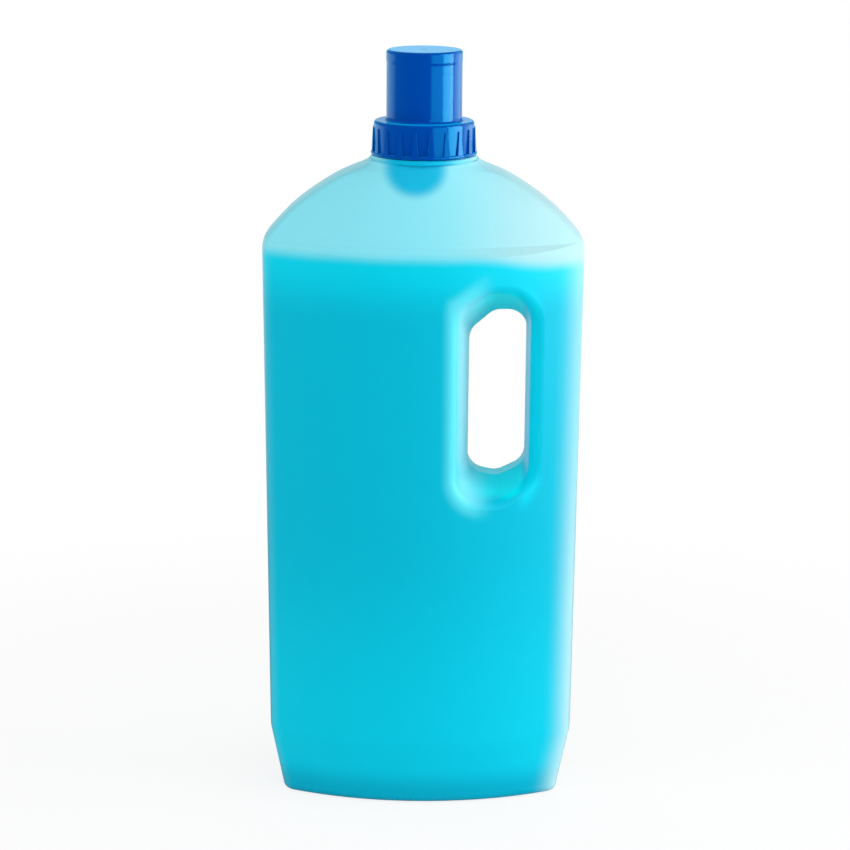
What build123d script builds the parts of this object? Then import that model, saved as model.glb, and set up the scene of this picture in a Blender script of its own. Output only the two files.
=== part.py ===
# A see-through, blow-moulded softener bottle with a handle eye, the liquid in it, a drain-back
# pouring insert pressed into its neck, and a screwed dosing cap with its sealing washer.
# Millimetres and degrees. +Z is up, +X is the side with the handle and -Y is the front.
# The origin is the middle of the standing face.
from build123d import *
from math import asin, atan, cos, degrees, radians, sin, sqrt, tan
import os

# Bottle body: half sizes of the plan section at the top of the flat panel, and how far the heel
# stands in from it and the foot stands in from the heel
panel_half_width = 68.35
panel_half_depth = 36.7
panel_side_half = 13.0
heel_z = 27.0
heel_side_step = 3.05
heel_front_step = 0.8
foot_side_step = 6.0
foot_front_step = 3.9
foot_side_extra = 3.0
side_bow = 1.2
body_corner_r = 7.5
least_corner_r = 2.0

# Shoulder: a small crown arc from the side, a long arc, then a straight run up to just outside
# the neck ring
crown_z = 236.0
crown_r = 12.5
crown_angle = 38.0
shoulder_r = 87.0
shoulder_arc_angle = 63.0
shoulder_past_ring = 0.77
shoulder_inside_ring = 1.7
neck_side_half = 11.5
crown_stations = 3
shoulder_stations = 7

# Ledge between the bowed panel and the flatter front of the shoulder
ledge_above_crown = 5.0
ledge_step = 4.1

# Rounding of the moulded edges
foot_edge_r = 3.0
heel_edge_r = 9.0
eye_rim_r = 4.0

# Walls
bottle_wall = 1.1
base_wall = 1.6
neck_wall = 1.3

# Push-up under the base
standing_width = 9.0
push_up_height = 3.5
push_up_run = 5.0

# Handle eye: a slanted opening with a short straight web that flares to the front and the back
grip_width = 24.05
eye_width = 24.5
eye_height = 72.4
eye_below_crown = 25.0
eye_lean = 0.3
eye_top_flat = 14.0
eye_top_drop = 9.0
eye_left_rise = 2.6
eye_right_rise = 5.8
eye_half_flat = 4.25
mouth_corner_extra = 4.5
web_half_depth = 5.5
flare_left_draft = 10.3
flare_right_draft = 4.4
flare_top_draft = 24.7
flare_bottom_draft = 14.2

# Neck finish
neck_root_r = 18.2
neck_height = 10.35
neck_ring_overhang = 4.1
neck_ring_height = 2.2
neck_ring_edge_r = 0.6
neck_ring_rise = 1.65

# Liquid
level_below_crown = 3.5
liquid_gap = 0.15

# Pouring insert
insert_clearance = 0.05
insert_wall = 1.0
insert_flange_height = 1.4
insert_flange_inset = 0.1
insert_depth = 27.5
insert_bottom_r = 4.0
beak_outer_r = 8.0
beak_above_flange = 15.5
beak_cut_slope = 38.0
beak_window_width = 5.0
beak_window_height = 7.0

# Sealing washer
washer_height = 1.0
washer_inner_gap = 1.0
washer_outer_gap = 0.4
seat_gap = 0.05

# Dosing cap
cap_ring_gap = 0.3
thread_room = 1.5
collar_wall = 1.5
collar_edge_r = 1.2
deck_thickness = 1.6
flange_overhang = 1.25
flange_height = 1.3
flange_edge_r = 0.5
cup_height = 29.7
cup_wall = 1.6
cup_top_wall = 1.4
cup_edge_r = 1.3
cup_foot_r = 1.5
bead_height = 5.6
bead_proud = 0.15
bead_run = 1.2
sleeve_wall = 0.95
sleeve_gap = 0.55
sleeve_depth = 8.0

# Grip ribs round the cap's collar
rib_count = 20
rib_first_angle = -82.0
rib_top_drop = 2.9
rib_top_width = 1.1
rib_bottom_width = 3.0
rib_top_proud = 0.55
rib_bottom_proud = 1.05
rib_root = 0.6

# How far cutters run past what they cut, and how near to a level an edge has to lie
cut_overrun = 8.0
side_overrun = 2.0
cut_reach = 3.0
level_tolerance = 0.01

# Sizes that follow from the ones above
heel_half_width = panel_half_width - heel_side_step
heel_half_depth = panel_half_depth - heel_front_step
foot_half_width = heel_half_width - foot_side_step
foot_half_depth = heel_half_depth - foot_front_step
foot_side_half = panel_side_half + foot_side_extra
ledge_z = crown_z + ledge_above_crown
liquid_level_z = crown_z - level_below_crown
eye_right_x = panel_half_width - grip_width
eye_left_x = eye_right_x - eye_width
eye_apex_x = (eye_left_x + eye_right_x) / 2
eye_top_z = crown_z - eye_below_crown
eye_bottom_z = eye_top_z - eye_height
eye_corner_r = eye_width / 2 - eye_half_flat
mouth_corner_r = eye_corner_r + mouth_corner_extra
neck_ring_r = neck_root_r + neck_ring_overhang
neck_bore_r = neck_root_r - neck_wall
neck_half_width = neck_ring_r + shoulder_past_ring
neck_half_depth = neck_ring_r - shoulder_inside_ring
skirt_r = neck_bore_r - insert_clearance
trough_r = skirt_r - insert_wall
sleeve_r = trough_r - sleeve_gap
cup_inner_r = sleeve_r - sleeve_wall
cup_r = cup_inner_r + cup_wall
collar_bore_r = neck_root_r + thread_room
collar_r = collar_bore_r + collar_wall
flange_r = collar_r + flange_overhang


def between(z, low_z, low, high_z, high):
    """The straight-line value at z."""
    return low + (high - low) * (z - low_z) / (high_z - low_z)


def section(z, half_width, half_depth, side_half, inset):
    """A plan section with bowed sides and rounded corners, all moved in by inset."""
    corner_x = half_width - side_bow
    rise = half_depth - side_half
    bow_r = (corner_x**2 + rise**2) / (2 * rise)
    lean = asin(corner_x / bow_r)
    corner_x -= inset
    corner_y = side_half - inset * (1 - sin(lean)) / cos(lean)
    mid_x = half_width - inset
    mid_y = half_depth - inset
    with BuildSketch(Plane.XY.offset(z)) as outline:
        with BuildLine():
            ThreePointArc((-corner_x, -corner_y), (0, -mid_y), (corner_x, -corner_y))
            ThreePointArc((corner_x, -corner_y), (mid_x, 0), (corner_x, corner_y))
            ThreePointArc((corner_x, corner_y), (0, mid_y), (-corner_x, corner_y))
            ThreePointArc((-corner_x, corner_y), (-mid_x, 0), (-corner_x, -corner_y))
        make_face()
        fillet(outline.vertices(), radius=max(body_corner_r - inset, least_corner_r))
    return outline.sketch.faces()[0]


# Centres of the crown's and the shoulder's arcs, and the length of the straight run to the ring
crown_x = panel_half_width - crown_r
shoulder_x = crown_x - (shoulder_r - crown_r) * cos(radians(crown_angle))
shoulder_z = crown_z - (shoulder_r - crown_r) * sin(radians(crown_angle))
shoulder_arc_end_x = shoulder_x + shoulder_r * cos(radians(shoulder_arc_angle))
shoulder_run = (shoulder_arc_end_x - neck_half_width) / sin(radians(shoulder_arc_angle))
shoulder_end_angle = shoulder_arc_angle + degrees(shoulder_run / shoulder_r)


def shoulder_point(angle, inset):
    """Half width and height of the front view's outline, where angle is how far its normal rises.

    Past the arc's end the outline runs straight on, as far as the arc would have run by that angle.
    """
    centre_x, centre_z, r = crown_x, crown_z, crown_r
    if angle > crown_angle:
        centre_x, centre_z, r = shoulder_x, shoulder_z, shoulder_r
    normal = radians(min(angle, shoulder_arc_angle))
    run = radians(max(angle - shoulder_arc_angle, 0)) * shoulder_r
    half_width = centre_x + (r - inset) * cos(normal) - run * sin(normal)
    height = centre_z + (r - inset) * sin(normal) + run * cos(normal)
    return half_width, height


# Where the shoulder ends inside the neck ring, and the steps of its sections
shoulder_end_z = shoulder_point(shoulder_end_angle, 0)[1]
ledge_angle = degrees(asin((ledge_z - crown_z) / crown_r))
crown_step = ledge_angle / crown_stations
shoulder_step = (shoulder_end_angle - ledge_angle) / shoulder_stations
shoulder_angles = [ledge_angle + n * shoulder_step for n in range(shoulder_stations + 1)]


def front_slope(low_half_depth):
    """How much the shoulder's front leans back for each millimetre of height."""
    return (low_half_depth - neck_half_depth) / (shoulder_end_z - ledge_z)


def front_depth(z, low_half_depth):
    """Half depth of the shoulder at z, from low_half_depth at the ledge."""
    return low_half_depth - max(0, z - ledge_z) * front_slope(low_half_depth)


def side_depth(z):
    """Half depth of the shoulder's side strip at z."""
    return between(max(z, ledge_z), ledge_z, panel_side_half, shoulder_end_z, neck_side_half)


def shoulder_section(angle, inset):
    """The plan section of the crown or the shoulder at angle."""
    half_width, z = shoulder_point(angle, inset)
    lean_back = sqrt(1 + front_slope(panel_half_depth) ** 2) if z > ledge_z else 1
    half_depth = front_depth(z, panel_half_depth) - inset * (lean_back - 1)
    return section(z, half_width + inset, half_depth, side_depth(z), inset)


def level_edges(shape, z):
    """The edges of shape that lie at height z."""
    return shape.edges().filter_by_position(Axis.Z, z - level_tolerance, z + level_tolerance)


def lofted_body(inset, floor_z):
    """The body's main form moved in by inset, from floor_z to inside the neck ring."""
    foot = section(
        floor_z,
        between(floor_z, 0, foot_half_width, heel_z, heel_half_width),
        between(floor_z, 0, foot_half_depth, heel_z, heel_half_depth),
        between(floor_z, 0, foot_side_half, heel_z, panel_side_half),
        inset,
    )
    heel = section(heel_z, heel_half_width, heel_half_depth, panel_side_half, inset)
    panel = section(crown_z, panel_half_width, panel_half_depth, panel_side_half, inset)
    crown = [shoulder_section(n * crown_step, inset) for n in range(crown_stations + 1)]
    shoulder = [shoulder_section(angle, inset) for angle in shoulder_angles]
    body = loft([foot, heel], ruled=True) + loft([heel, panel], ruled=True)
    body += loft(crown) + loft(shoulder)
    body = fillet(level_edges(body, heel_z), radius=heel_edge_r - inset)
    return fillet(level_edges(body, floor_z), radius=foot_edge_r - inset)


def front_cutter(inset):
    """What the ledge and the flatter shoulder take off the bowed front, past its sides and top."""
    far_y = -cut_reach * panel_half_depth
    low_depth = panel_half_depth - ledge_step
    faces = []
    for angle in shoulder_angles + [shoulder_end_angle + shoulder_step / 2]:
        half_width, z = shoulder_point(angle, inset)
        mid_y = front_depth(z, low_depth) - inset * sqrt(1 + front_slope(low_depth) ** 2)
        corner_x = half_width - side_bow
        corner_y = side_depth(z)
        lean = 2 * atan((mid_y - corner_y) / corner_x)
        end_x = corner_x + side_overrun * cos(lean)
        end_y = corner_y - side_overrun * sin(lean)
        with BuildSketch(Plane.XY.offset(z)) as outline:
            with BuildLine():
                front = ThreePointArc((-corner_x, -corner_y), (0, -mid_y), (corner_x, -corner_y))
                right = Polyline(front @ 1, (end_x, -end_y), (end_x, far_y))
                Polyline(right @ 1, (-end_x, far_y), (-end_x, -end_y), front @ 0)
            make_face()
        faces.append(outline.sketch.faces()[0])
    return loft(faces) + extrude(faces[0], amount=2 * ledge_step, dir=(0, -1, -1))


def push_up(grow):
    """The hollow under the base, grown by grow."""
    mouth_inset = standing_width - grow
    roof_inset = mouth_inset + push_up_run
    roof_z = push_up_height + grow
    mouth = section(0, foot_half_width, foot_half_depth, foot_side_half, mouth_inset)
    roof = section(roof_z, foot_half_width, foot_half_depth, foot_side_half, roof_inset)
    return loft([mouth, roof], ruled=True)


def eye_outline(y, left, right, top, bottom, corner_r, grow):
    """The slanted outline of the eye at depth y, each side moved out by its own amount."""
    low_left = (eye_left_x - eye_lean - left, eye_bottom_z + eye_left_rise - bottom)
    low_right = (eye_right_x - eye_lean + right, eye_bottom_z + eye_right_rise - bottom)
    outline_points = [
        low_left,
        (eye_apex_x, eye_bottom_z - bottom),
        low_right,
        (eye_right_x + right, eye_top_z + top),
        (eye_right_x - eye_top_flat - left / 2, eye_top_z + top),
        (eye_left_x - left, eye_top_z - eye_top_drop + top),
    ]
    with BuildSketch(Plane(origin=(0, y, 0), x_dir=(1, 0, 0), z_dir=(0, -1, 0))) as outline:
        with BuildLine():
            Polyline(*outline_points, close=True)
        make_face()
        fillet(outline.vertices(), radius=corner_r)
        if grow > 0:
            offset(amount=grow, mode=Mode.REPLACE)
    return outline.sketch.faces()[0]


def eye_tool(grow):
    """The whole handle eye as a cutter, with its sides moved out by grow."""
    far_y = panel_half_depth + cut_overrun
    run = far_y - web_half_depth
    web = eye_outline(-web_half_depth, 0, 0, 0, 0, eye_corner_r, grow)
    mouth = eye_outline(
        -far_y,
        run * tan(radians(flare_left_draft)),
        run * tan(radians(flare_right_draft)),
        run * tan(radians(flare_top_draft)),
        run * tan(radians(flare_bottom_draft)),
        mouth_corner_r,
        grow,
    )
    flare = loft([web, mouth], ruled=True)
    straight = extrude(web, amount=2 * web_half_depth, dir=(0, 1, 0))
    return straight + flare + flare.mirror(Plane.XZ)


def rim_edges(form):
    """The edges where the eye's flares leave the front and the back of the form."""
    edges = []
    for edge in form.edges():
        box = edge.bounding_box()
        beside_eye = box.min.X > 0 and box.max.X < panel_half_width - body_corner_r
        level = box.min.Z > heel_z + heel_edge_r and box.max.Z < crown_z
        outside = min(abs(box.min.Y), abs(box.max.Y)) > panel_side_half
        if beside_eye and level and outside:
            edges.append(edge)
    return edges


def bottle_form(inset, floor_z):
    """The bottle's solid form below the neck, moved in by inset."""
    form = lofted_body(inset, floor_z)
    cutter = front_cutter(inset)
    form = form - cutter - cutter.mirror(Plane.XZ) - eye_tool(inset)
    form = fillet(rim_edges(form), radius=eye_rim_r - inset)
    return form - push_up(floor_z)


# Levels of the neck, its insert, the washer and the cap, from the shoulder up
ring_top_z = shoulder_end_z + neck_ring_rise
ring_bottom_z = ring_top_z - neck_ring_height
neck_top_z = ring_top_z + neck_height
flange_z = neck_top_z + seat_gap
flange_top_z = flange_z + insert_flange_height
washer_z = flange_top_z + seat_gap
deck_under_z = washer_z + washer_height + seat_gap
deck_z = deck_under_z + deck_thickness
collar_z = ring_top_z + cap_ring_gap
cup_top_z = deck_z + cup_height


stand_on = (Align.CENTER, Align.CENTER, Align.MIN)


def rod(r, low_z, high_z):
    """An upright round bar on the bottle's axis."""
    return Pos(0, 0, low_z) * Cylinder(r, high_z - low_z, align=stand_on)


def tube(outer_r, inner_r, low_z, high_z):
    """An upright tube on the bottle's axis."""
    return rod(outer_r, low_z, high_z) - rod(inner_r, low_z, high_z)


def make_bottle(outside, cavity):
    """The blown body with its neck ring and neck, open at the top."""
    ring = rod(neck_ring_r, ring_bottom_z, ring_top_z)
    ring = fillet(ring.edges(), radius=neck_ring_edge_r)
    bore = rod(neck_bore_r, ring_bottom_z - neck_ring_height, neck_top_z)
    return outside + ring + rod(neck_root_r, ring_bottom_z, neck_top_z) - cavity - bore


def make_softener(fill_form):
    """The liquid, clear of the wall by a film and cut off level."""
    size = cut_reach * panel_half_width
    above = Pos(0, 0, liquid_level_z) * Box(size, size, size, align=stand_on)
    return fill_form - above


def make_pour_spout():
    """The insert: flange on the rim, cup in the neck, and a slanted beak that drains back."""
    bottom_z = flange_top_z - insert_depth
    floor_z = bottom_z + insert_wall
    outside = rod(skirt_r, bottom_z, flange_top_z)
    outside = fillet(level_edges(outside, bottom_z), radius=insert_bottom_r)
    trough = rod(trough_r, floor_z, flange_top_z)
    trough = fillet(level_edges(trough, floor_z), radius=insert_bottom_r - insert_wall)
    flange = rod(neck_root_r - insert_flange_inset, flange_z, flange_top_z)
    beak_inner_r = beak_outer_r - insert_wall
    beak_top_z = flange_top_z + beak_above_flange
    beak = rod(beak_outer_r, bottom_z, beak_top_z)
    size = 2 * cut_reach * beak_outer_r
    above_lip = Rot(-beak_cut_slope, 0, 0) * Box(size, size, size, align=stand_on)
    beak -= Pos(0, -beak_outer_r, beak_top_z) * above_lip
    window = Box(beak_window_width, 2 * beak_outer_r, beak_window_height, align=stand_on)
    channel = rod(beak_inner_r, bottom_z, beak_top_z)
    return outside + flange - trough + beak - channel - Pos(0, beak_outer_r, floor_z) * window


def make_seal_ring():
    """The flat washer between the insert's flange and the underside of the cap's deck."""
    outer_r = neck_root_r - washer_outer_gap
    return tube(outer_r, sleeve_r + washer_inner_gap, washer_z, washer_z + washer_height)


def grip_envelope():
    """The slightly conical solid that the tops of the ribs lie on."""
    rib_top_z = deck_z - rib_top_drop
    with BuildSketch(Plane.XZ) as profile:
        Polygon(
            (0, collar_z),
            (collar_r + rib_bottom_proud, collar_z),
            (collar_r + rib_top_proud, rib_top_z),
            (0, rib_top_z),
            align=None,
        )
    return revolve(profile.sketch, axis=Axis.Z)


def make_ribs():
    """The wedge-shaped grip ribs, narrow and round at the top, broad where they meet the flange."""
    rib_top_z = deck_z - rib_top_drop
    plane = Plane(origin=(0, 0, 0), x_dir=(0, 1, 0), z_dir=(1, 0, 0))
    half_top = rib_top_width / 2
    half_bottom = rib_bottom_width / 2
    with BuildSketch(plane.offset(collar_r - rib_root)) as outline:
        with BuildLine():
            side = Line((-half_bottom, collar_z), (-half_top, rib_top_z - half_top))
            crown = ThreePointArc(side @ 1, (0, rib_top_z), (half_top, rib_top_z - half_top))
            Polyline(crown @ 1, (half_bottom, collar_z), side @ 0)
        make_face()
    bar = extrude(outline.sketch, amount=flange_r - collar_r + rib_root, dir=(1, 0, 0))
    rib = bar & grip_envelope()
    turn = 360 / rib_count
    return [Rot(0, 0, rib_first_angle + n * turn) * rib for n in range(rib_count)]


def cap_outside():
    """The outer form of the collar and the closed cup as one turned solid, without ribs."""
    collar = rod(collar_r, collar_z, deck_z)
    collar = fillet(level_edges(collar, deck_z), radius=collar_edge_r)
    flange = rod(flange_r, collar_z, collar_z + flange_height)
    flange = fillet(flange.edges(), radius=flange_edge_r)
    cup = rod(cup_r, deck_z - deck_thickness, cup_top_z)
    bead = rod(cup_r + bead_proud, cup_top_z - bead_height, cup_top_z)
    bead = fillet(level_edges(bead, cup_top_z), radius=cup_edge_r)
    bead_foot = level_edges(bead, cup_top_z - bead_height)
    bead = chamfer(bead_foot, length=bead_run, length2=bead_proud)
    cup = fillet(level_edges(cup, cup_top_z), radius=cup_edge_r) + bead
    outside = collar + cup
    foot = []
    for edge in level_edges(outside, deck_z):
        if abs(edge.radius - cup_r) < level_tolerance:
            foot.append(edge)
    return fillet(foot, radius=cup_foot_r) + flange


def make_dosing_cap():
    """The cap: a ribbed screw collar, a deck, a closed measuring cup and its sleeve."""
    roof_z = cup_top_z - cup_top_wall
    hollow = rod(cup_inner_r, collar_z, roof_z)
    hollow = fillet(level_edges(hollow, roof_z), radius=cup_edge_r)
    bore = rod(collar_bore_r, collar_z, deck_under_z)
    sleeve = tube(sleeve_r, cup_inner_r, deck_under_z - sleeve_depth, deck_under_z)
    cap = cap_outside() - bore - hollow + sleeve
    for rib in make_ribs():
        cap += rib
    return cap


outside = bottle_form(0, 0)
pieces = {
    "bottle": make_bottle(outside, bottle_form(bottle_wall, base_wall)),
    "softener": make_softener(bottle_form(bottle_wall + liquid_gap, base_wall + liquid_gap)),
    "pour_spout": make_pour_spout(),
    "seal_ring": make_seal_ring(),
    "dosing_cap": make_dosing_cap(),
}
os.makedirs("parts", exist_ok=True)
for name, piece in pieces.items():
    export_step(piece, f"parts/{name}.step")
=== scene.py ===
import math

import bmesh
import bpy
from mathutils import Matrix, Vector


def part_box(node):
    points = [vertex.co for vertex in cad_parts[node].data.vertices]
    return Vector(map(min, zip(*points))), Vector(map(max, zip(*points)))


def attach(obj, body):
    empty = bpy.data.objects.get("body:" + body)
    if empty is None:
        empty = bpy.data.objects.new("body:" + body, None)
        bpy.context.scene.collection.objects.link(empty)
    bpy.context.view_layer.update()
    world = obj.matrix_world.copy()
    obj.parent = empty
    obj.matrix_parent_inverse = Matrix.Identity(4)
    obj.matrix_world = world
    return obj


bl_info = {
    "name": "Softener bottle dresser",
    "version": (1, 0, 0),
    "blender": (4, 5, 0),
    "location": "3D View > Sidebar > Bottle",
    "description": "Gives the packed softener bottle its plastics, its liquid, its threads and a studio",
    "category": "Object",
}

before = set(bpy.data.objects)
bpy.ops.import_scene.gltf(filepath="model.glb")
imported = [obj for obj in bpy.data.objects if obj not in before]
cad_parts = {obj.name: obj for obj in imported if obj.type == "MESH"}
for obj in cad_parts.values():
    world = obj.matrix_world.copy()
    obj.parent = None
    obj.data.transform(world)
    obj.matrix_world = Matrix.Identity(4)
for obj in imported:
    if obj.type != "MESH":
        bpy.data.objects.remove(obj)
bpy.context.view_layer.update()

# Heights and the half width, read from the frame, in metres
NECK_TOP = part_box("bottle")[1].z
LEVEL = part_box("softener")[1].z
CAP_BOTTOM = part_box("dosing_cap")[0].z
CAP_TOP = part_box("dosing_cap")[1].z
PANEL_HALF_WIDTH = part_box("bottle")[1].x

# The neck ring under the cap's edge
CAP_RING_GAP = 0.0003
RING_TOP = CAP_BOTTOM - CAP_RING_GAP
RING_HALF_WIDTH = 0.024
RING_BLUR = (1.0, 0.3)
RING_STARTS = (RING_TOP - 0.0026, RING_TOP - 0.0020)
NECK_STARTS = (RING_TOP + 0.0002, RING_TOP + 0.0006)

# The panel's side outline, from the foot over the heel to the shoulder
HEEL_TOP = 0.027
SHOULDER = 0.236
FOOT_HALF_WIDTH = PANEL_HALF_WIDTH - 0.0093
HEEL_HALF_WIDTH = PANEL_HALF_WIDTH - 0.0031

# The finger hole's mouth, an upright slot with round ends and one corner cut off by a slope
MOUTH_X = PANEL_HALF_WIDTH - 0.0380
MOUTH_Z = 0.1780
MOUTH_CORE_X = 0.0043
MOUTH_CORE_Z = 0.0353
MOUTH_ROUND = 0.0120
SLOPE_X = 0.0141
SLOPE_Z = 0.2163
SLOPE_ACROSS = 0.557
SLOPE_UP = 0.83

# The insert's foot, seen through the shell
INSERT_X = -0.0034
INSERT_HALF_WIDTH = 0.0108
INSERT_MIDDLE = RING_TOP - 0.004
INSERT_DROP = 0.0090
INSERT_BLUR = (2.1, 0.5)

# Heights between which the shell's colours change, from and to
HIGH_TO_MID = (LEVEL + 0.004, LEVEL - 0.026)
MID_TO_LOW = (0.130, 0.020)
LOW_TO_FOOT = (0.018, 0.002)
THIN_STARTS = (0.262, 0.240)
THIN_WIDENS = (0.24, 0.02)

# Places across the shell between which its colours change, from and to
EMPTY_TO_PALE = (-0.010, 0.062)
LEVEL_SINKS = (0.015, 0.060)
LEFT_OF_HOLE = (0.0330, 0.0150)
RIGHT_OF_HOLE = (0.0380, 0.0460)

# Distances from a panel's side or from the parting line between which they change
EDGE_FULL = -0.004
FAR_EDGE = (0.006, -0.003)
OFF_SEAM = (0.003, 0.014)
OFF_HOLE_SEAM = (0.0030, 0.0060)

# Distances outwards from the finger hole's rim between which they change
HOLE_WALL = (-0.0012, -0.0052)
HOLE_SLOPE = (0.0020, -0.0035)
HOLE_PAINTED_HIGHLIGHT = (0.0075, 0.0)
HOLE_BESIDE = (0.0060, 0.0)

# How strongly each painted part of the shell covers what is under it
EDGE_POWER = 1.5
EDGE_SHARE = 0.65
EDGE_SHARE_LOWER = 0.4
FAR_EDGE_SHARE = 0.2
THIN_MOST = 0.95
THIN_AT_SEAM = 0.5
PAINTED_HIGHLIGHT_SHARE = 0.75
SLOPE_SHARE = 0.88
BESIDE_SHARE = 0.9
INSERT_SHARE = 0.97
RING_SHARE = 0.9

# The parting line up the two sides and across the base
SEAM_HALF_WIDTH = 0.00035
SEAM_SIDES = (0.040, 0.046)
FOOT_SEAM_HALF_WIDTH = 0.0006
FOOT_SEAM_TOP = (0.006, 0.004)

# The gate mark in the middle of the cap's top, by radius and by height
GATE_EDGE = (0.0016, 0.0010)
GATE_HEIGHT = (CAP_TOP - 0.0012, CAP_TOP - 0.0008)

# How far a noise moves the roughness of each plastic
SHELL_WEAR = 0.10
CAP_FLOW = 0.04
CAP_SCUFF = 0.10
SCUFF_STARTS = (0.62, 0.74)

# The camera's picture and sensor
PHOTO_WIDTH = 850
SENSOR_WIDTH = 36.0
CAMERA_CLIP = (0.05, 50.0)

# The floor, in metres, with the reach of the soft shadow round the bottle
FLOOR_REACH = 7.0
FLOOR_DROP = 0.0001
FLOOR_GREY = 0.9
SHADOW_REACH = (0.16, 0.55)
SHADOW_SHARE = 0.18
WHITE_IN_GLOSS = (0.20, 0.90)
BACKDROP_IN_GLOSS = (0.90, 0.98)

# Upright lights round the bottle: azimuth, distance, width, height, and whether gloss alone sees them
LIGHT_HEIGHT = 0.50
ROUND_LIGHTS = {
    "key_spread": (77.75, 1.0, 0.72, 0.94, False),
    "key_glint": (77.75, 0.93, 0.67, 0.90, True),
    "side_glint": (38.0, 1.0, 0.62, 0.94, True),
    "rim_glint": (122.0, 1.0, 0.66, 0.90, True),
}

# Lights that fill the shadows of matt colour: place, target, width, height
FILL_LIGHTS = {
    "side_fill": ((-1.1, -0.5, 0.5), (0, 0, 0.2), 0.7, 0.8),
    "top_fill": ((0.15, -0.9, 1.3), (0, 0, 0.15), 1.2, 0.8),
}


def screen(red, green, blue):
    """A colour given as it looks on a screen, 0 to 255, as the linear values that nodes take."""
    linear = []
    for value in (red, green, blue):
        share = value / 255
        if share <= 0.04045:
            linear.append(share / 12.92)
        else:
            linear.append(((share + 0.055) / 1.055) ** 2.4)
    return tuple(linear)


def colour_property(name, description, red, green, blue):
    """A colour that a user can change, given as it looks on a screen."""
    return bpy.props.FloatVectorProperty(
        name=name,
        description=description,
        subtype="COLOR",
        size=3,
        min=0.0,
        max=1.0,
        default=screen(red, green, blue),
    )


def share_property(name, description, default):
    """A number from 0 to 1 that a user can change."""
    return bpy.props.FloatProperty(
        name=name, description=description, subtype="FACTOR", min=0.0, max=1.0, default=default
    )


def length_property(name, description, default):
    """A length in metres that a user can change."""
    return bpy.props.FloatProperty(
        name=name, description=description, unit="LENGTH", subtype="DISTANCE", precision=5, default=default
    )


def plain_property(name, description, default):
    """A number without a unit that a user can change."""
    return bpy.props.FloatProperty(name=name, description=description, min=0.0, default=default)


def angle_property(name, description, degrees):
    """An angle that a user can change."""
    return bpy.props.FloatProperty(
        name=name, description=description, subtype="ANGLE", unit="ROTATION", default=math.radians(degrees)
    )


class ShellLook(bpy.types.PropertyGroup):
    """Colours and surface of the blown shell and of the liquid that shows through it, some with painted light
    and shade.
    """

    empty: colour_property("Empty shell", "Shell above the liquid", 136, 225, 239)
    # Paler towards the handle: partly the thinner wall there, partly painted light of the lamps on that side
    empty_pale_lit: colour_property("Empty shell, thin side", "The same towards the handle", 172, 216, 222)
    liquid_high: colour_property("Liquid, high", "Liquid just under its level", 0, 208, 232)
    liquid_mid: colour_property("Liquid, middle", "Liquid halfway down", 0, 184, 212)
    # Lighter than the middle: painted light, standing in for light bounced up from the floor; the liquid's
    # own clouds use it too
    liquid_low: colour_property("Liquid, low", "Liquid near the base", 0, 199, 225)
    # Darker along the foot: painted shade where the bottle stands on the floor
    liquid_foot_shade: colour_property("Liquid, foot", "Thick edge that the bottle stands on", 0, 172, 201)
    deep: colour_property("Deep", "Thick ring and what lies behind the wall", 0, 180, 220)
    # Brighter than the liquid: painted light that lifts the walls inside the finger hole out of their shade
    grip_wall_lit: colour_property("Grip wall", "Walls inside the finger hole", 0, 238, 248)
    # Pale slopes left of the finger hole: partly thin wall, partly painted light where they face the key lamp
    grip_slope_lit: colour_property("Grip wall, pale side", "Stretched wall round the finger hole", 140, 234, 246)
    # A painted highlight on the panels just outside the finger hole, on its left
    grip_painted_highlight: colour_property("Round the grip", "Panels just outside the finger hole", 104, 233, 247)
    # Pale edges: partly wall with little liquid behind it, partly painted light from the lamps on the
    # handle's side
    thin: colour_property("Thin", "Wall where little liquid backs it", 188, 226, 232)
    blur_top: length_property("Blur, top", "Where the level starts to fade in, above it", 0.0082)
    blur_foot: length_property("Blur, foot", "Where the liquid has its full colour, above the level", 0.0005)
    level_wave: length_property("Level wave", "How far slow clouds move the level's blur", 0.0025)
    level_sink: length_property("Level sink", "How much lower the level's blur lies by the handle", 0.0045)
    edge_reach: length_property("Thin edge", "How far the thin edge by the handle reaches in", 0.0150)
    roughness: share_property("Roughness", "Roughness of the shell", 0.34)
    grain_height: length_property("Grain height", "Height of the moulding's grain", 0.00002)
    ripple_height: length_property("Ripple height", "Height of the blown wall's waves", 0.00035)
    seam_height: length_property("Seam height", "Height of the parting line", 0.00012)


class CapLook(bpy.types.PropertyGroup):
    """Colours and surface of the blue mouldings and the washer."""

    cap: colour_property("Cap", "Glossy blue of the cap", 0, 66, 168)
    cap_shade: colour_property("Cap shade", "Deeper blue in the mouldings' flow", 0, 50, 150)
    insert: colour_property("Insert", "Blue of the pouring insert", 0, 104, 204)
    washer: colour_property("Washer", "Foam of the washer", 236, 238, 236)
    washer_cell: colour_property("Washer cells", "Foam between the washer's cells", 205, 208, 204)
    roughness: share_property("Roughness", "Roughness of the cap", 0.13)
    mark_height: length_property("Mark height", "Height of the gate mark", 0.00025)


class ThreadSizes(bpy.types.PropertyGroup):
    """The screw thread's sizes."""

    lead: length_property("Lead", "Rise in one turn", 0.006)
    ridge: length_property("Ridge radius", "Radius of the ridge's round section", 0.0009)
    neck_radius: length_property("Neck ridge centre", "Radius of the neck ridge's centre line", 0.0185)
    cap_radius: length_property("Cap ridge centre", "Radius of the cap ridge's centre line", 0.0194)
    neck_turns: plain_property("Neck turns", "Turns on the neck", 1.25)
    cap_turns: plain_property("Cap turns", "Turns in the cap", 1.5)
    below_rim: length_property("Below the rim", "From the neck's top to the neck ridge's end", 0.0019)
    run_out: share_property("Run-out", "Share of the ridge that tapers at each end", 0.07)


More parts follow.
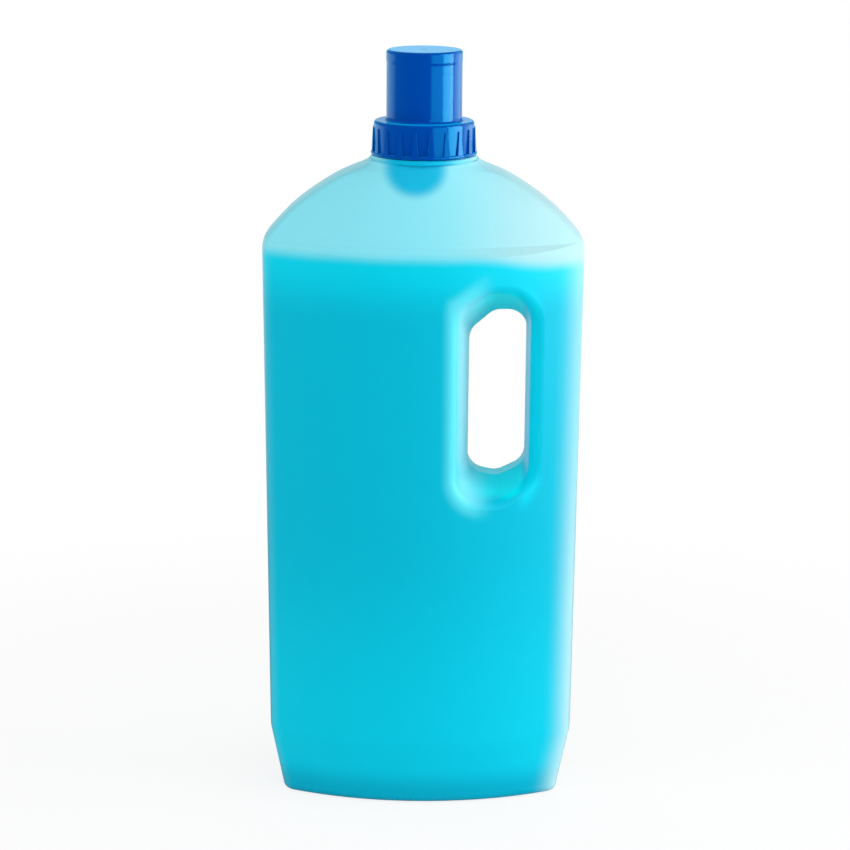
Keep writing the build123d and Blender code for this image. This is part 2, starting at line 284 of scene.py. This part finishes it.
class StudioSetup(bpy.types.PropertyGroup):
    """Camera and lights."""

    camera_side: length_property("Camera side", "The camera's place along X", 0.0012)
    camera_distance: length_property("Camera distance", "From the neck's axis, along -Y", 1.43)
    camera_height: length_property("Camera height", "Above the floor", 0.472)
    camera_pitch: angle_property("Camera pitch", "Downward tilt", 12.339)
    camera_roll: angle_property("Camera roll", "Turn about the line of sight", 0.38)
    focal_pixels: plain_property("Focal length", "In pixels of the photo", 3411.4)
    key_spread: plain_property("Key, spread", "What the key gives to matt colour", 3.6)
    key_glint: plain_property("Key, glint", "What the key gives to gloss", 7.6)
    side_glint: plain_property("Side, glint", "What the wide light beside the key gives to gloss", 2.4)
    rim_glint: plain_property("Rim, glint", "What the weak light behind the key gives to gloss", 1.0)
    side_fill: plain_property("Side fill", "The weaker light from the left", 1.75)
    top_fill: plain_property("Top fill", "The light from above and in front", 1.4)
    world_spread: plain_property("Surroundings", "What the room gives to matt colour", 0.62)
    world_front: plain_property("Dark room", "What gloss sees of the room behind the camera", 0.12)


class Shade:
    """One socket in a node tree that can be written in sums and products."""

    def __init__(self, paint, socket):
        self.paint = paint
        self.socket = socket

    def _math(self, operation, first, second):
        return self.paint.add("Math", {"operation": operation}, {0: first, 1: second})

    def __add__(self, other):
        return self._math("ADD", self, other)

    def __radd__(self, other):
        return self._math("ADD", other, self)

    def __sub__(self, other):
        return self._math("SUBTRACT", self, other)

    def __rsub__(self, other):
        return self._math("SUBTRACT", other, self)

    def __mul__(self, other):
        return self._math("MULTIPLY", self, other)

    def __rmul__(self, other):
        return self._math("MULTIPLY", other, self)

    def __truediv__(self, other):
        return self._math("DIVIDE", self, other)

    def __rtruediv__(self, other):
        return self._math("DIVIDE", other, self)

    def size(self):
        """The value without its sign."""
        return self.paint.add("Math", {"operation": "ABSOLUTE"}, {0: self})

    def least(self, other):
        """The smaller of two values."""
        return self._math("MINIMUM", self, other)

    def most(self, other):
        """The larger of two values."""
        return self._math("MAXIMUM", self, other)

    def power(self, other):
        """The value raised to other."""
        return self._math("POWER", self, other)

    def fade(self, start, end):
        """0 at start and 1 at end, smooth between them."""
        settings = {"interpolation_type": "SMOOTHERSTEP"}
        if start <= end:
            values = {"Value": self, "From Min": start, "From Max": end}
            return self.paint.add("MapRange", settings, values)
        values = {"Value": self, "From Min": end, "From Max": start}
        return 1 - self.paint.add("MapRange", settings, values)


class Paint:
    """A node tree being filled, with the one way that nodes are added to it."""

    def __init__(self, tree):
        self.tree = tree
        tree.nodes.clear()

    def add(self, kind, settings=None, values=None, out=0):
        """Adds a shader node: its settings first, then the values or links of its sockets."""
        node = self.tree.nodes.new("ShaderNode" + kind)
        for name, setting in (settings or {}).items():
            setattr(node, name, setting)
        for name, value in (values or {}).items():
            if isinstance(value, Shade):
                self.tree.links.new(value.socket, node.inputs[name])
            elif isinstance(value, tuple) and node.inputs[name].type == "RGBA":
                node.inputs[name].default_value = (*value, 1.0)
            else:
                node.inputs[name].default_value = value
        if not node.outputs:
            return None
        return Shade(self, node.outputs[out])

    def mix(self, share, first, second, blend="MIX"):
        """Two colours mixed by share."""
        settings = {"data_type": "RGBA", "blend_type": blend}
        return self.add("Mix", settings, {0: share, 6: first, 7: second}, out=2)

    def place(self):
        """The point on the object, in metres."""
        return self.add("TexCoord", out=3)

    def split(self, vector):
        """The three parts of a vector."""
        node = self.add("SeparateXYZ", values={"Vector": vector}).socket.node
        return [Shade(self, socket) for socket in node.outputs]

    def rays(self, *kinds):
        """Whether a ray is of each of the kinds named, as 0 or 1."""
        node = self.add("LightPath").socket.node
        return [Shade(self, node.outputs[f"Is {kind} Ray"]) for kind in kinds]

    def stretched(self, vector, scale):
        """The vector with each part scaled."""
        return self.add("VectorMath", {"operation": "MULTIPLY"}, {0: vector, 1: scale})

    def noise(self, vector, scale, detail=2.0, roughness=0.5):
        """Soft noise from 0 to 1."""
        values = {"Vector": vector, "Scale": scale, "Detail": detail, "Roughness": roughness}
        return self.add("TexNoise", values=values)

    def bump(self, height, distance, normal=None):
        """A bumped normal from a height in shares of distance."""
        values = {"Height": height, "Distance": distance, "Strength": 1.0}
        if normal is not None:
            values["Normal"] = normal
        return self.add("Bump", values=values)

    def plastic(self, values):
        """The one surface shader of a plastic, joined to the material's output."""
        surface = self.add("BsdfPrincipled", values=values)
        self.add("OutputMaterial", values={"Surface": surface})


def new_material(name):
    """An empty material and the paint for it."""
    material = bpy.data.materials.new(name)
    material.use_nodes = True
    return material, Paint(material.node_tree)


def dress(node, material):
    """Gives a CAD node its material."""
    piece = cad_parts[node]
    piece.data.materials.clear()
    piece.data.materials.append(material)


def between(z, low_z, low, high_z, high):
    """The straight-line value at z."""
    return (z - low_z) * ((high - low) / (high_z - low_z)) + low


def panel_half_width(z):
    """How far the panel reaches to the side at a height."""
    heel = between(z, 0.0, FOOT_HALF_WIDTH, HEEL_TOP, HEEL_HALF_WIDTH)
    flank = between(z, HEEL_TOP, HEEL_HALF_WIDTH, SHOULDER, PANEL_HALF_WIDTH)
    return heel.least(flank)


def from_mouth_rim(x, z):
    """How far a point of the panel lies outside the finger hole's rim, negative inside it."""
    out_x = ((x - MOUTH_X).size() - MOUTH_CORE_X).most(0.0)
    out_z = ((z - MOUTH_Z).size() - MOUTH_CORE_Z).most(0.0)
    over_slope = (z - SLOPE_Z) * SLOPE_UP - (x - SLOPE_X) * SLOPE_ACROSS
    return ((out_x * out_x + out_z * out_z).power(0.5) - MOUTH_ROUND).most(over_slope)


def filled_colour(paint, look, place, x, z):
    """The liquid behind the wall, its blurred level and the empty shell above it, with painted light in
    places: the empty shell paler towards the handle, the liquid lighter near the base and painted shade at
    the foot.
    """
    cloud = paint.noise(place, scale=14.0, detail=3.0) - 0.5
    level = z + cloud * look.level_wave + x.fade(*LEVEL_SINKS) * look.level_sink
    filled = level.fade(LEVEL + look.blur_top, LEVEL + look.blur_foot)
    liquid = paint.mix(z.fade(*HIGH_TO_MID), tuple(look.liquid_high), tuple(look.liquid_mid))
    # Lighter near the base: painted light bounced up from the floor
    liquid = paint.mix(z.fade(*MID_TO_LOW), liquid, tuple(look.liquid_low))
    # Darker along the foot: painted shade where the bottle meets the floor
    liquid = paint.mix(z.fade(*LOW_TO_FOOT), liquid, tuple(look.liquid_foot_shade))
    # The empty shell turns paler towards the handle, partly painted light of the lamps on that side
    empty = paint.mix(x.fade(*EMPTY_TO_PALE), tuple(look.empty), tuple(look.empty_pale_lit))
    return paint.mix(filled, empty, liquid)


def thin_and_lit_edges(look, x, y, z):
    """Pale edges, partly where little liquid backs the wall and partly painted light from the lamps on the
    handle's side: strongest by the handle, more so lower down, and a little on the far side.
    """
    half_width = panel_half_width(z)
    by_handle = (half_width - x).fade(look.edge_reach, EDGE_FULL).power(EDGE_POWER)
    by_handle = by_handle * (z.fade(*THIN_WIDENS) * EDGE_SHARE_LOWER + EDGE_SHARE)
    far_side = (half_width + x).fade(*FAR_EDGE) * FAR_EDGE_SHARE
    thin = (by_handle + far_side).least(THIN_MOST) * z.fade(*THIN_STARTS)
    return thin * (y.size().fade(*OFF_SEAM) * (1 - THIN_AT_SEAM) + THIN_AT_SEAM)


def grip_colour(paint, look, x, y, z, colour):
    """Adds painted light round the finger hole: its walls brightened against their shade, pale slopes on the
    left that are partly painted light, a painted highlight on the panel left of it, and the liquid's colour
    lifted right of it against the rim's shade.
    """
    from_rim = from_mouth_rim(x, z)
    # Walls inside the finger hole, brightened against their shade with painted light
    wall = from_rim.fade(*HOLE_WALL)
    colour = paint.mix(wall, colour, tuple(look.grip_wall_lit))
    to_left = x.fade(*LEFT_OF_HOLE)
    slope = from_rim.fade(*HOLE_SLOPE)
    # Left of the hole only: a painted highlight on the rounded edge into the panel
    painted_highlight = from_rim.fade(*HOLE_PAINTED_HIGHLIGHT) * (1 - slope) * to_left
    colour = paint.mix(painted_highlight * PAINTED_HIGHLIGHT_SHARE, colour, tuple(look.grip_painted_highlight))
    # Left of the hole only: pale slopes, partly thin wall and partly painted light where they face the key
    # lamp
    pale = slope * to_left * y.size().fade(*OFF_HOLE_SEAM)
    colour = paint.mix(pale * SLOPE_SHARE, colour, tuple(look.grip_slope_lit))
    # Right of the hole: painted light, the liquid's high colour laid back over the shade of the rim's fillet
    beside = from_rim.fade(*HOLE_BESIDE) * x.fade(*RIGHT_OF_HOLE) * (1 - wall)
    return paint.mix(beside * BESIDE_SHARE, colour, tuple(look.liquid_high))


def neck_colour(paint, look, x, z, colour):
    """Adds the insert's blurred foot behind the wall, the thick neck ring and the clear neck above it."""
    aside = (x - INSERT_X) / INSERT_HALF_WIDTH
    below = (INSERT_MIDDLE - z).most(0.0) / INSERT_DROP
    behind = (aside * aside + below * below).fade(*INSERT_BLUR)
    colour = paint.mix(behind * INSERT_SHARE, colour, tuple(look.deep))
    ring = z.fade(*RING_STARTS) * (x / RING_HALF_WIDTH).size().fade(*RING_BLUR)
    colour = paint.mix(ring * RING_SHARE, colour, tuple(look.deep))
    return paint.mix(z.fade(*NECK_STARTS), colour, tuple(look.empty))


def shell_normal(paint, look, place, x, y, z):
    """The blown wall's slow waves, the mould's grain and the parting line."""
    ripple = paint.noise(paint.stretched(place, (1.0, 1.0, 0.5)), scale=26.0, detail=1.0)
    grain = paint.noise(place, scale=1400.0, detail=3.0, roughness=0.6)
    seam_side = y.size().fade(SEAM_HALF_WIDTH, 0.0) * x.size().fade(*SEAM_SIDES)
    seam_foot = y.size().fade(FOOT_SEAM_HALF_WIDTH, 0.0) * z.fade(*FOOT_SEAM_TOP)
    seam_foot = seam_foot * x.size().fade(*reversed(SEAM_SIDES))
    normal = paint.bump(ripple, look.ripple_height)
    normal = paint.bump(grain, look.grain_height, normal)
    return paint.bump(seam_side.most(seam_foot), look.seam_height, normal)


def shell_material():
    """Frosted, see-through moulding over milky liquid, as one skin, with painted light and shade in its
    colour.
    """
    look = bpy.context.scene.shell_look
    material, paint = new_material("frosted_shell")
    place = paint.place()
    x, y, z = paint.split(place)

    colour = filled_colour(paint, look, place, x, z)
    # Pale edges, partly painted light from the lamps on the handle's side
    colour = paint.mix(thin_and_lit_edges(look, x, y, z), colour, tuple(look.thin))
    colour = grip_colour(paint, look, x, y, z, colour)
    colour = neck_colour(paint, look, x, z, colour)
    mottle = paint.noise(paint.stretched(place, (1.0, 1.0, 0.35)), scale=55.0, detail=4.0)
    tint = paint.mix(mottle, (0.965, 0.98, 0.985), (1.0, 1.0, 1.0))
    colour = paint.mix(1.0, colour, tint, blend="MULTIPLY")

    wear = paint.noise(place, scale=90.0, detail=3.0)
    paint.plastic(
        {
            "Base Color": colour,
            "Roughness": wear * SHELL_WEAR + (look.roughness - SHELL_WEAR / 2),
            "Normal": shell_normal(paint, look, place, x, y, z),
            "IOR": 1.5,
            "Specular IOR Level": 0.18,
            "Specular Tint": (0.30, 0.92, 1.0),
        }
    )
    return material


def liquid_material():
    """Milky turquoise liquid with slow clouds."""
    look = bpy.context.scene.shell_look
    material, paint = new_material("milky_liquid")
    place = paint.place()
    x, y, z = paint.split(place)
    cloud = paint.noise(place, scale=9.0, detail=3.0)
    colour = paint.mix(z.fade(LEVEL, 0.10), tuple(look.liquid_high), tuple(look.liquid_mid))
    colour = paint.mix(cloud * 0.35, colour, tuple(look.liquid_low))
    ripple = paint.noise(place, scale=60.0, detail=1.0)
    paint.plastic(
        {
            "Base Color": colour,
            "Roughness": cloud * 0.05 + 0.08,
            "Normal": paint.bump(ripple, distance=0.00005),
            "IOR": 1.34,
        }
    )
    return material


def cap_material():
    """Glossy moulded blue with faint flow, a gate mark and handling wear."""
    look = bpy.context.scene.cap_look
    material, paint = new_material("cap_blue")
    place = paint.place()
    x, y, z = paint.split(place)

    flow = paint.noise(paint.stretched(place, (1.0, 1.0, 0.25)), scale=110.0, detail=3.0)
    colour = paint.mix(flow * 0.35, tuple(look.cap), tuple(look.cap_shade))
    radius = (x * x + y * y).power(0.5)
    gate = radius.fade(*GATE_EDGE) * z.fade(*GATE_HEIGHT)
    colour = paint.mix(gate * 0.5, colour, tuple(look.cap_shade))

    scuff = paint.noise(paint.stretched(place, (1.0, 1.0, 6.0)), scale=240.0, detail=4.0, roughness=0.7)
    rubbed = scuff.fade(*SCUFF_STARTS) * CAP_SCUFF
    wave = paint.noise(place, scale=75.0, detail=1.0)
    grain = paint.noise(place, scale=1800.0, detail=2.0)
    normal = paint.bump(wave, distance=0.00004)
    normal = paint.bump(grain, distance=0.000006, normal=normal)
    normal = paint.bump(gate, look.mark_height, normal)
    paint.plastic(
        {
            "Base Color": colour,
            "Roughness": rubbed + (flow * CAP_FLOW + (look.roughness - CAP_FLOW / 2)),
            "Normal": normal,
            "IOR": 1.5,
            "Specular IOR Level": 0.62,
            "Specular Tint": (0.02, 0.78, 1.0),
            "Sheen Weight": 1.0,
            "Sheen Roughness": 0.45,
            "Sheen Tint": (0.0, 0.55, 1.0),
        }
    )
    return material


def insert_material():
    """Softer blue moulding with faint draw marks up its sides."""
    look = bpy.context.scene.cap_look
    material, paint = new_material("insert_blue")
    place = paint.place()
    streak = paint.noise(paint.stretched(place, (1.0, 1.0, 0.08)), scale=420.0, detail=2.0)
    colour = paint.mix(streak * 0.4, tuple(look.insert), tuple(look.cap_shade))
    paint.plastic(
        {
            "Base Color": colour,
            "Roughness": streak * 0.12 + 0.24,
            "Normal": paint.bump(streak, distance=0.00003),
            "IOR": 1.5,
        }
    )
    return material


def washer_material():
    """Closed white foam with fine cells."""
    look = bpy.context.scene.cap_look
    material, paint = new_material("washer_foam")
    cells = paint.add("TexVoronoi", values={"Vector": paint.place(), "Scale": 2600.0})
    colour = paint.mix(cells * 0.3, tuple(look.washer), tuple(look.washer_cell))
    paint.plastic(
        {
            "Base Color": colour,
            "Roughness": cells * 0.1 + 0.62,
            "Normal": paint.bump(cells, distance=0.00008),
        }
    )
    return material


THREAD_INPUTS = (
    ("Centre Radius", "NodeSocketFloat", 0.0185),
    ("Ridge Radius", "NodeSocketFloat", 0.0009),
    ("Lead", "NodeSocketFloat", 0.006),
    ("Turns", "NodeSocketFloat", 1.25),
    ("Start Height", "NodeSocketFloat", 0.0),
    ("Start Angle", "NodeSocketFloat", 0.0),
    ("Run-out", "NodeSocketFloat", 0.07),
    ("Material", "NodeSocketMaterial", None),
)


def thread_tree():
    """A geometry tree that winds one rounded ridge up a screw line and runs it out at both ends."""
    found = bpy.data.node_groups.get("screw_ridge")
    if found:
        return found
    tree = bpy.data.node_groups.new("screw_ridge", "GeometryNodeTree")
    for name, kind, default in THREAD_INPUTS:
        socket = tree.interface.new_socket(name=name, in_out="INPUT", socket_type=kind)
        if default is not None:
            socket.default_value = default
    tree.interface.new_socket(name="Ridge", in_out="OUTPUT", socket_type="NodeSocketGeometry")
    given = tree.nodes.new("NodeGroupInput").outputs

    def add(kind, settings=None, values=None):
        node = tree.nodes.new(kind)
        for name, setting in (settings or {}).items():
            setattr(node, name, setting)
        for name, value in (values or {}).items():
            if isinstance(value, bpy.types.NodeSocket):
                tree.links.new(value, node.inputs[name])
            else:
                node.inputs[name].default_value = value
        return node.outputs[0]

    def maths(operation, first, second):
        return add("ShaderNodeMath", {"operation": operation}, {0: first, 1: second})

    spiral = add(
        "GeometryNodeCurveSpiral",
        values={
            "Resolution": 72,
            "Rotations": given["Turns"],
            "Start Radius": given["Centre Radius"],
            "End Radius": given["Centre Radius"],
            "Height": maths("MULTIPLY", given["Lead"], given["Turns"]),
            "Reverse": False,
        },
    )
    lift = add("ShaderNodeCombineXYZ", values={"Z": given["Start Height"]})
    turn = add("ShaderNodeCombineXYZ", values={"Z": given["Start Angle"]})
    placed = add(
        "GeometryNodeTransform", values={"Geometry": spiral, "Translation": lift, "Rotation": turn}
    )
    along = add("GeometryNodeSplineParameter")
    from_end = maths("MINIMUM", along, maths("SUBTRACT", 1.0, along))
    tip_size, full_size = 0.12, 1.0
    grown = add(
        "ShaderNodeMapRange",
        {"interpolation_type": "SMOOTHSTEP"},
        {
            "Value": from_end,
            "From Min": 0.0,
            "From Max": given["Run-out"],
            "To Min": tip_size,
            "To Max": full_size,
        },
    )
    sized = add("GeometryNodeSetCurveRadius", values={"Curve": placed, "Radius": grown})
    section = add(
        "GeometryNodeCurvePrimitiveCircle", values={"Resolution": 14, "Radius": given["Ridge Radius"]}
    )
    swept = add(
        "GeometryNodeCurveToMesh",
        values={"Curve": sized, "Profile Curve": section, "Fill Caps": True},
    )
    smooth = add("GeometryNodeSetShadeSmooth", values={"Geometry": swept, "Shade Smooth": True})
    real = add("GeometryNodeRealizeInstances", values={"Geometry": smooth})
    named = add("GeometryNodeSetMaterial", values={"Geometry": real, "Material": given["Material"]})
    made = tree.nodes.new("NodeGroupOutput")
    tree.links.new(named, made.inputs[0])
    return tree


def facing_out(mesh):
    """Turns a closed mesh's faces outward."""
    shell = bmesh.new()
    shell.from_mesh(mesh)
    bmesh.ops.remove_doubles(shell, verts=shell.verts, dist=1e-7)
    bmesh.ops.recalc_face_normals(shell, faces=shell.faces)
    shell.to_mesh(mesh)
    shell.free()


def wound_ridge(name, radius, turns, start_angle, body, material):
    """Makes one ridge of the thread from the geometry tree and lets it ride on its body."""
    thread = bpy.context.scene.thread_sizes
    inputs = {
        "Centre Radius": radius,
        "Ridge Radius": thread.ridge,
        "Lead": thread.lead,
        "Turns": turns,
        "Start Height": NECK_TOP - thread.below_rim - thread.lead * thread.neck_turns,
        "Start Angle": start_angle,
        "Run-out": thread.run_out,
        "Material": material,
    }
    carrier = bpy.data.objects.new(name, bpy.data.meshes.new(name))
    bpy.context.scene.collection.objects.link(carrier)
    modifier = carrier.modifiers.new("ridge", "NODES")
    modifier.node_group = thread_tree()
    for item in modifier.node_group.interface.items_tree:
        if item.in_out == "INPUT":
            modifier[item.identifier] = inputs[item.name]
    evaluated = carrier.evaluated_get(bpy.context.evaluated_depsgraph_get())
    mesh = bpy.data.meshes.new_from_object(evaluated)
    carrier.modifiers.clear()
    facing_out(mesh)
    mesh.name = name
    carrier.data = mesh
    if not mesh.polygons:
        raise RuntimeError(f"{name} came out empty")
    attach(carrier, body)


class SOFTENER_OT_shell(bpy.types.Operator):
    """Gives the blown bottle its frosted shell and the liquid that shows through it."""

    bl_idname = "softener.shell"
    bl_label = "Finish the bottle"

    def execute(self, context):
        dress("bottle", shell_material())
        return {"FINISHED"}


class SOFTENER_OT_liquid(bpy.types.Operator):
    """Gives the liquid its milky turquoise."""

    bl_idname = "softener.liquid"
    bl_label = "Finish the liquid"

    def execute(self, context):
        dress("softener", liquid_material())
        return {"FINISHED"}


class SOFTENER_OT_insert(bpy.types.Operator):
    """Gives the pouring insert and the sealing washer their plastics."""

    bl_idname = "softener.insert"
    bl_label = "Finish the insert and the washer"

    def execute(self, context):
        dress("pour_spout", insert_material())
        dress("seal_ring", washer_material())
        return {"FINISHED"}


class SOFTENER_OT_cap(bpy.types.Operator):
    """Gives the dosing cap its glossy blue."""

    bl_idname = "softener.cap"
    bl_label = "Finish the cap"

    def execute(self, context):
        dress("dosing_cap", cap_material())
        return {"FINISHED"}


class SOFTENER_OT_neck_thread(bpy.types.Operator):
    """Winds the neck's thread ridge."""

    bl_idname = "softener.neck_thread"
    bl_label = "Add the neck's thread"

    def execute(self, context):
        thread = context.scene.thread_sizes
        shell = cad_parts["bottle"].data.materials[0]
        wound_ridge(
            "neck_thread", thread.neck_radius, thread.neck_turns, 0.0, "filled_bottle", shell
        )
        return {"FINISHED"}


class SOFTENER_OT_cap_thread(bpy.types.Operator):
    """Winds the thread ridge inside the cap's collar, half a lead below the neck's."""

    bl_idname = "softener.cap_thread"
    bl_label = "Add the cap's thread"

    def execute(self, context):
        thread = context.scene.thread_sizes
        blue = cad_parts["dosing_cap"].data.materials[0]
        wound_ridge("cap_thread", thread.cap_radius, thread.cap_turns, math.pi, "cap", blue)
        return {"FINISHED"}


def add_floor(setup):
    """A plain white floor that keeps the soft shadow and is white to the camera elsewhere."""
    near, far, height = -FLOOR_REACH, FLOOR_REACH, -FLOOR_DROP
    corners = [(near, near, height), (far, near, height), (far, far, height), (near, far, height)]
    mesh = bpy.data.meshes.new("floor")
    mesh.from_pydata(corners, [], [(0, 1, 2, 3)])
    floor = bpy.data.objects.new("floor", mesh)
    bpy.context.scene.collection.objects.link(floor)

    material, paint = new_material("floor_white")
    camera, clear, glossy = paint.rays("Camera", "Transmission", "Glossy")
    x, y, z = paint.split(paint.place())
    away = (x * x + y * y).power(0.5).fade(*SHADOW_REACH)
    shown = camera.most(clear) * (away * SHADOW_SHARE + (1 - SHADOW_SHARE))
    matt = paint.add("BsdfDiffuse", values={"Color": (FLOOR_GREY, FLOOR_GREY, FLOOR_GREY)})
    white = paint.add("Emission", values={"Color": (1.0, 1.0, 1.0), "Strength": 1.0})
    dark = paint.add("Emission", values={"Color": (1.0, 1.0, 1.0), "Strength": setup.world_front})
    plain = paint.add("MixShader", values={0: shown, 1: matt, 2: white})
    # The shell and the cap mirror a dark floor in front and a white one behind
    in_gloss = paint.add("MixShader", values={0: y.fade(*WHITE_IN_GLOSS), 1: dark, 2: white})
    both = paint.add("MixShader", values={0: glossy, 1: plain, 2: in_gloss})
    paint.add("OutputMaterial", values={"Surface": both})
    mesh.materials.append(material)


def add_world(setup):
    """White behind the object and to the camera, and a dimmer room behind the camera."""
    world = bpy.data.worlds.new("studio")
    world.use_nodes = True
    # Sampled as a lamp, the world would light gloss as well, whatever its rays are told
    world.cycles.sampling_method = "NONE"
    bpy.context.scene.world = world
    paint = Paint(world.node_tree)
    camera, clear, glossy = paint.rays("Camera", "Transmission", "Glossy")
    direction = paint.split(paint.add("TexCoord"))
    backdrop = direction[1].fade(*BACKDROP_IN_GLOSS) * (1 - setup.world_front) + setup.world_front
    matt = (1 - camera) * (1 - glossy) * (1 - clear)
    strength = camera.most(clear).most(glossy * (1 - camera) * backdrop) + matt * setup.world_spread
    sky = paint.add("Background", values={"Color": (1.0, 1.0, 1.0), "Strength": strength})
    paint.add("OutputWorld", values={"Surface": sky})


def add_softbox(name, place, target, width, height, radiance, glint):
    """A soft light of a given brightness, for gloss alone or for matt colour alone."""
    light = bpy.data.lights.new(name, "AREA")
    light.shape = "RECTANGLE"
    light.size = width
    light.size_y = height
    light.energy = radiance * math.pi * width * height
    box = bpy.data.objects.new(name, light)
    back = (Vector(place) - Vector(target)).normalized()
    side = Vector((0, 0, 1)).cross(back).normalized()
    up = back.cross(side)
    box.matrix_world = Matrix.Translation(place) @ Matrix((side, up, back)).transposed().to_4x4()
    box.visible_diffuse = not glint
    box.visible_glossy = glint
    box.visible_camera = False
    bpy.context.scene.collection.objects.link(box)


def add_lights(setup):
    """The lights round the bottle, each as bright as the setting of its name."""
    target = (0, 0, LIGHT_HEIGHT)
    for name, (azimuth, distance, width, height, glint) in ROUND_LIGHTS.items():
        turn = math.radians(azimuth)
        place = (distance * math.sin(turn), -distance * math.cos(turn), LIGHT_HEIGHT)
        add_softbox(name, place, target, width, height, getattr(setup, name), glint)
    for name, (place, target, width, height) in FILL_LIGHTS.items():
        add_softbox(name, place, target, width, height, getattr(setup, name), False)


def add_camera(setup):
    """The photograph's camera."""
    data = bpy.data.cameras.new("camera")
    data.sensor_fit = "HORIZONTAL"
    data.sensor_width = SENSOR_WIDTH
    data.lens = setup.focal_pixels / PHOTO_WIDTH * SENSOR_WIDTH
    data.clip_start, data.clip_end = CAMERA_CLIP
    camera = bpy.data.objects.new("camera", data)
    place = Matrix.Translation((setup.camera_side, -setup.camera_distance, setup.camera_height))
    tilt = Matrix.Rotation(math.pi / 2 - setup.camera_pitch, 4, "X")
    camera.matrix_world = place @ tilt @ Matrix.Rotation(setup.camera_roll, 4, "Z")
    bpy.context.scene.collection.objects.link(camera)
    bpy.context.scene.camera = camera


class SOFTENER_OT_stage(bpy.types.Operator):
    """Sets the floor, the surroundings, the lights and the camera."""

    bl_idname = "softener.stage"
    bl_label = "Set the studio"

    def execute(self, context):
        setup = context.scene.studio_setup
        context.scene.view_settings.view_transform = "Standard"
        add_floor(setup)
        add_world(setup)
        add_lights(setup)
        add_camera(setup)
        return {"FINISHED"}


GROUPS = {
    "shell_look": ShellLook,
    "cap_look": CapLook,
    "thread_sizes": ThreadSizes,
    "studio_setup": StudioSetup,
}

STEPS = (
    SOFTENER_OT_shell,
    SOFTENER_OT_liquid,
    SOFTENER_OT_insert,
    SOFTENER_OT_cap,
    SOFTENER_OT_neck_thread,
    SOFTENER_OT_cap_thread,
    SOFTENER_OT_stage,
)


class SOFTENER_PT_panel(bpy.types.Panel):
    """Lists the steps that dress the bottle and the settings that they read."""

    bl_idname = "SOFTENER_PT_panel"
    bl_label = "Softener bottle"
    bl_space_type = "VIEW_3D"
    bl_region_type = "UI"
    bl_category = "Bottle"

    def draw(self, context):
        for step in STEPS:
            self.layout.operator(step.bl_idname)
        for name, group in GROUPS.items():
            box = self.layout.box()
            settings = getattr(context.scene, name)
            for key in group.__annotations__:
                box.prop(settings, key)


CLASSES = (*GROUPS.values(), *STEPS, SOFTENER_PT_panel)


def register():
    for kind in CLASSES:
        bpy.utils.register_class(kind)
    for name, group in GROUPS.items():
        setattr(bpy.types.Scene, name, bpy.props.PointerProperty(type=group))


def unregister():
    for name in GROUPS:
        delattr(bpy.types.Scene, name)
    for kind in reversed(CLASSES):
        bpy.utils.unregister_class(kind)


def main():
    register()
    bpy.ops.softener.shell()
    bpy.ops.softener.liquid()
    bpy.ops.softener.insert()
    bpy.ops.softener.cap()
    bpy.ops.softener.neck_thread()
    bpy.ops.softener.cap_thread()
    bpy.ops.softener.stage()


if __name__ == "__main__":
    main()
